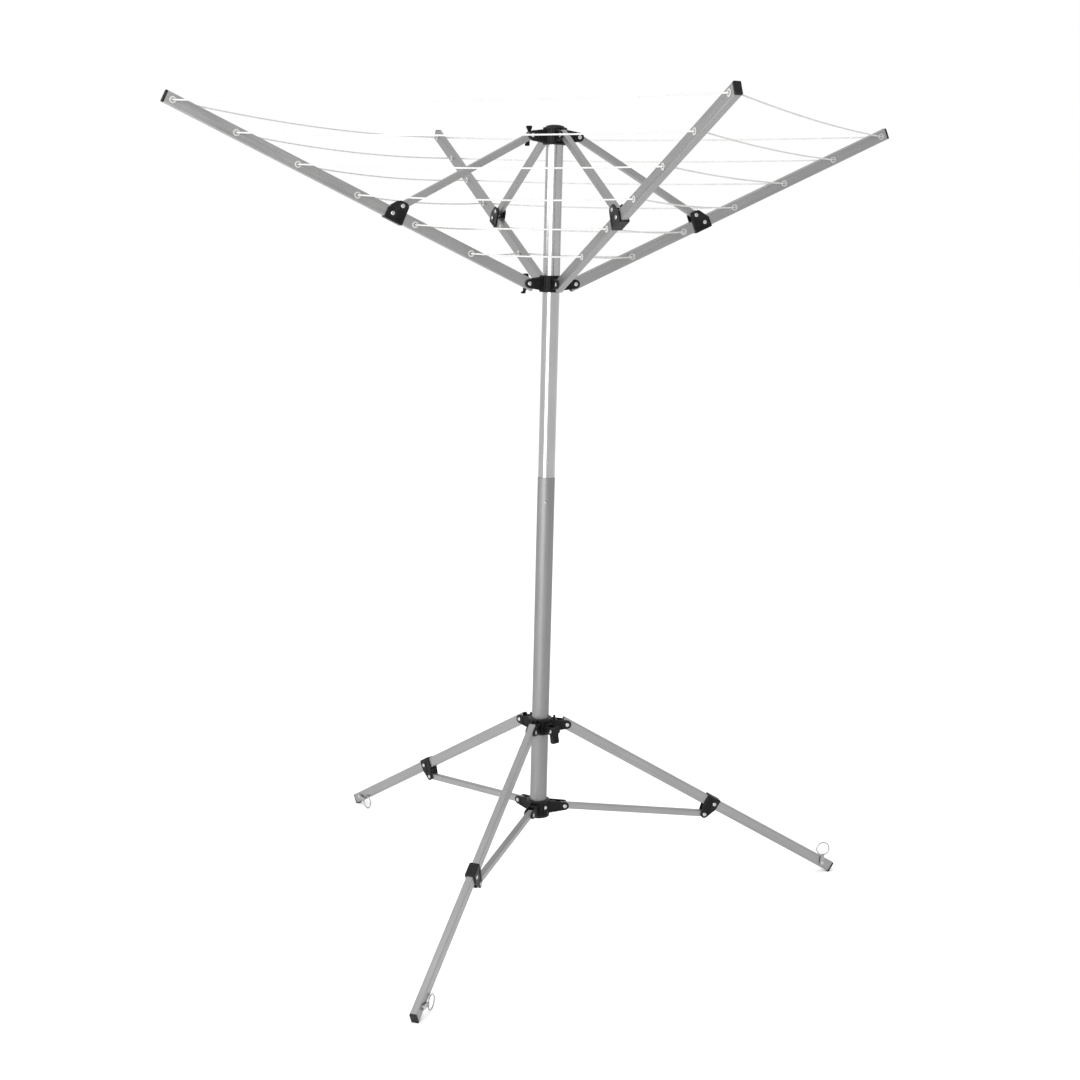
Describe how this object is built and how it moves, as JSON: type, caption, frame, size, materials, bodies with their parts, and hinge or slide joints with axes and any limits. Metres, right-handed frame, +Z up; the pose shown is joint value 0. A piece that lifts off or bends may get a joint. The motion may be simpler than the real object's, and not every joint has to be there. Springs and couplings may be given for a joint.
{
  "type": "rotary clothesline",
  "caption": "Free-standing rotary airer: folding arms strung with line on a turning head, a round pole and a folding tripod.",
  "frame": {"origin": "on the ground under the pole's axis", "axes": "+Z up along the pole; +X and +Y each along an open arm"},
  "size_m": [1.575, 1.575, 1.6606],
  "materials": {
    "pole_tube": "satin drawn tube",
    "bar_tube": "satin anodised tube",
    "rivet_steel": "bright rivets",
    "wire_steel": "zinc-plated",
    "white_plastic": "white moulding",
    "line_pvc": "white PVC-coated line",
    "cap_plastic": "soft black cap",
    "black_plastic": "fine-grained black moulding"
  },
  "bodies": {
    "base": {"lower_tube": "pole_tube", "upper_tube": "pole_tube", "top_bush": "black_plastic", "snap_clip": "wire_steel", "base_hub": "black_plastic", "base_rivets": "rivet_steel"},
    "head": {"crown_hub": "black_plastic", "crown_cap": "black_plastic", "crown_rivets": "rivet_steel", "clothesline": "line_pvc"},
    "strut_a": {"strut_a": "bar_tube"},
    "arm_a": {"arm_a": "bar_tube", "arm_bracket_a": "black_plastic", "arm_rivets_a": "rivet_steel", "arm_cap_a": "cap_plastic", "eyelets_a": "white_plastic"},
    "strut_b": {"strut_b": "bar_tube"},
    "arm_b": {"arm_b": "bar_tube", "arm_bracket_b": "black_plastic", "arm_rivets_b": "rivet_steel", "arm_cap_b": "cap_plastic", "eyelets_b": "white_plastic"},
    "strut_c": {"strut_c": "bar_tube"},
    "arm_c": {"arm_c": "bar_tube", "arm_bracket_c": "black_plastic", "arm_rivets_c": "rivet_steel", "arm_cap_c": "cap_plastic", "eyelets_c": "white_plastic"},
    "strut_d": {"strut_d": "bar_tube"},
    "arm_d": {"arm_d": "bar_tube", "arm_bracket_d": "black_plastic", "arm_rivets_d": "rivet_steel", "arm_cap_d": "cap_plastic", "eyelets_d": "white_plastic"},
    "arm_hub": {"arm_hub": "black_plastic", "arm_hub_rivets": "rivet_steel"},
    "hub_latch": {"hub_latch": "black_plastic"},
    "brace_1": {"brace_1": "bar_tube"},
    "leg_1": {"leg_1": "bar_tube", "leg_bracket_1": "black_plastic", "leg_rivets_1": "rivet_steel", "foot_cap_1": "cap_plastic"},
    "brace_2": {"brace_2": "bar_tube"},
    "leg_2": {"leg_2": "bar_tube", "leg_bracket_2": "black_plastic", "leg_rivets_2": "rivet_steel", "foot_cap_2": "cap_plastic"},
    "brace_3": {"brace_3": "bar_tube"},
    "leg_3": {"leg_3": "bar_tube", "leg_bracket_3": "black_plastic", "leg_rivets_3": "rivet_steel", "foot_cap_3": "cap_plastic"},
    "leg_hub": {"leg_hub": "black_plastic", "leg_hub_rivets": "rivet_steel"},
    "clamp_lever": {"clamp_lever": "black_plastic"},
    "snap_button": {"snap_button": "wire_steel"},
    "peg_ring_1": {"peg_ring_1": "wire_steel"},
    "peg_ring_2": {"peg_ring_2": "wire_steel"},
    "peg_ring_3": {"peg_ring_3": "wire_steel"}
  },
  "joints": [
    {"name": "head_spin", "type": "hinge", "parent": "base", "child": "head", "pos_m": [0, 0, 1.609], "axis": [0, 0, 1], "continuous": true},
    {"name": "strut_a_fold", "type": "hinge", "parent": "head", "child": "strut_a", "pos_m": [-0.051, 0, 1.609], "axis": [0, -1, 0], "range_deg": [0, 60], "deforming": ["clothesline"]},
    {"name": "arm_a_turn", "type": "hinge", "parent": "strut_a", "child": "arm_a", "pos_m": [-0.321, 0, 1.4615], "axis": [0, -1, 0], "range_deg": [-120, 0]},
    {"name": "strut_b_fold", "type": "hinge", "parent": "head", "child": "strut_b", "pos_m": [0, -0.051, 1.609], "axis": [1, 0, 0], "range_deg": [0, 60]},
    {"name": "arm_b_turn", "type": "hinge", "parent": "strut_b", "child": "arm_b", "pos_m": [0, -0.321, 1.4615], "axis": [1, 0, 0], "range_deg": [-120, 0]},
    {"name": "strut_c_fold", "type": "hinge", "parent": "head", "child": "strut_c", "pos_m": [0.051, 0, 1.609], "axis": [0, 1, 0], "range_deg": [0, 60]},
    {"name": "arm_c_turn", "type": "hinge", "parent": "strut_c", "child": "arm_c", "pos_m": [0.321, 0, 1.4615], "axis": [0, 1, 0], "range_deg": [-120, 0]},
    {"name": "strut_d_fold", "type": "hinge", "parent": "head", "child": "strut_d", "pos_m": [0, 0.051, 1.609], "axis": [-1, 0, 0], "range_deg": [0, 60]},
    {"name": "arm_d_turn", "type": "hinge", "parent": "strut_d", "child": "arm_d", "pos_m": [0, 0.321, 1.4615], "axis": [-1, 0, 0], "range_deg": [-120, 0]},
    {"name": "arm_hub_turn", "type": "hinge", "parent": "arm_a", "child": "arm_hub", "pos_m": [-0.051, 0, 1.314], "axis": [0, -1, 0], "range_deg": [0, 60]},
    {"name": "hub_latch_rock", "type": "hinge", "parent": "arm_hub", "child": "hub_latch", "pos_m": [-0.051, 0, 1.314], "axis": [0, -1, 0], "range_deg": [-15, 15]},
    {"name": "brace_1_fold", "type": "hinge", "parent": "base", "child": "brace_1", "pos_m": [-0.03728, -0.04443, 0.186], "axis": [-0.766, 0.6428, 0], "range_deg": [0, 90]},
    {"name": "leg_1_turn", "type": "hinge", "parent": "brace_1", "child": "leg_1", "pos_m": [-0.24233, -0.2888, 0.152], "axis": [0.766, -0.6428, 0], "range_deg": [0, 140.54]},
    {"name": "brace_2_fold", "type": "hinge", "parent": "base", "child": "brace_2", "pos_m": [0.05712, -0.01007, 0.186], "axis": [-0.1736, -0.9848, 0], "range_deg": [0, 90]},
    {"name": "leg_2_turn", "type": "hinge", "parent": "brace_2", "child": "leg_2", "pos_m": [0.37127, -0.06546, 0.152], "axis": [0.1736, 0.9848, 0], "range_deg": [0, 140.54]},
    {"name": "brace_3_fold", "type": "hinge", "parent": "base", "child": "brace_3", "pos_m": [-0.01984, 0.0545, 0.186], "axis": [0.9397, 0.342, 0], "range_deg": [0, 90]},
    {"name": "leg_3_turn", "type": "hinge", "parent": "brace_3", "child": "leg_3", "pos_m": [-0.12894, 0.35426, 0.152], "axis": [-0.9397, -0.342, 0], "range_deg": [0, 140.54]},
    {"name": "leg_hub_slide", "type": "slide", "parent": "base", "child": "leg_hub", "axis": [0, 0, 1], "range_m": [0, 0.5196]},
    {"name": "clamp_lever_swing", "type": "hinge", "parent": "leg_hub", "child": "clamp_lever", "pos_m": [0.01539, -0.04229, 0.368], "axis": [-0.9397, -0.342, 0], "range_deg": [0, 85]},
    {"name": "snap_button_press", "type": "slide", "parent": "base", "child": "snap_button", "axis": [0.3746, 0.9272, 0], "range_m": [0, 0.0034], "stiffness_N_per_m": 600},
    {"name": "peg_ring_1_swing", "type": "hinge", "parent": "leg_1", "child": "peg_ring_1", "pos_m": [-0.41709, -0.51317, 0.02299], "axis": [0.766, -0.6428, 0], "range_deg": [0, 185]},
    {"name": "peg_ring_2_swing", "type": "hinge", "parent": "leg_2", "child": "peg_ring_2", "pos_m": [0.64937, -0.12501, 0.02299], "axis": [0.1736, 0.9848, 0], "range_deg": [-95, 95]},
    {"name": "peg_ring_3_swing", "type": "hinge", "parent": "leg_3", "child": "peg_ring_3", "pos_m": [-0.23587, 0.6178, 0.02299], "axis": [-0.9397, -0.342, 0], "range_deg": [0, 185]}
  ],
  "couplings": [
    {"joint": "arm_a_turn", "follows": "strut_a_fold", "ratio": -2},
    {"joint": "strut_b_fold", "follows": "strut_a_fold", "ratio": 1},
    {"joint": "arm_b_turn", "follows": "strut_a_fold", "ratio": -2},
    {"joint": "strut_c_fold", "follows": "strut_a_fold", "ratio": 1},
    {"joint": "arm_c_turn", "follows": "strut_a_fold", "ratio": -2},
    {"joint": "strut_d_fold", "follows": "strut_a_fold", "ratio": 1},
    {"joint": "arm_d_turn", "follows": "strut_a_fold", "ratio": -2},
    {"joint": "arm_hub_turn", "follows": "strut_a_fold", "ratio": 1},
    {"joint": "leg_1_turn", "follows": "brace_1_fold", "ratio": 1.561},
    {"joint": "brace_2_fold", "follows": "brace_1_fold", "ratio": 1},
    {"joint": "leg_2_turn", "follows": "brace_1_fold", "ratio": 1.561},
    {"joint": "brace_3_fold", "follows": "brace_1_fold", "ratio": 1},
    {"joint": "leg_3_turn", "follows": "brace_1_fold", "ratio": 1.561},
    {"joint": "leg_hub_slide", "follows": "brace_1_fold", "m_per_rad": 0.33069}
  ]
}
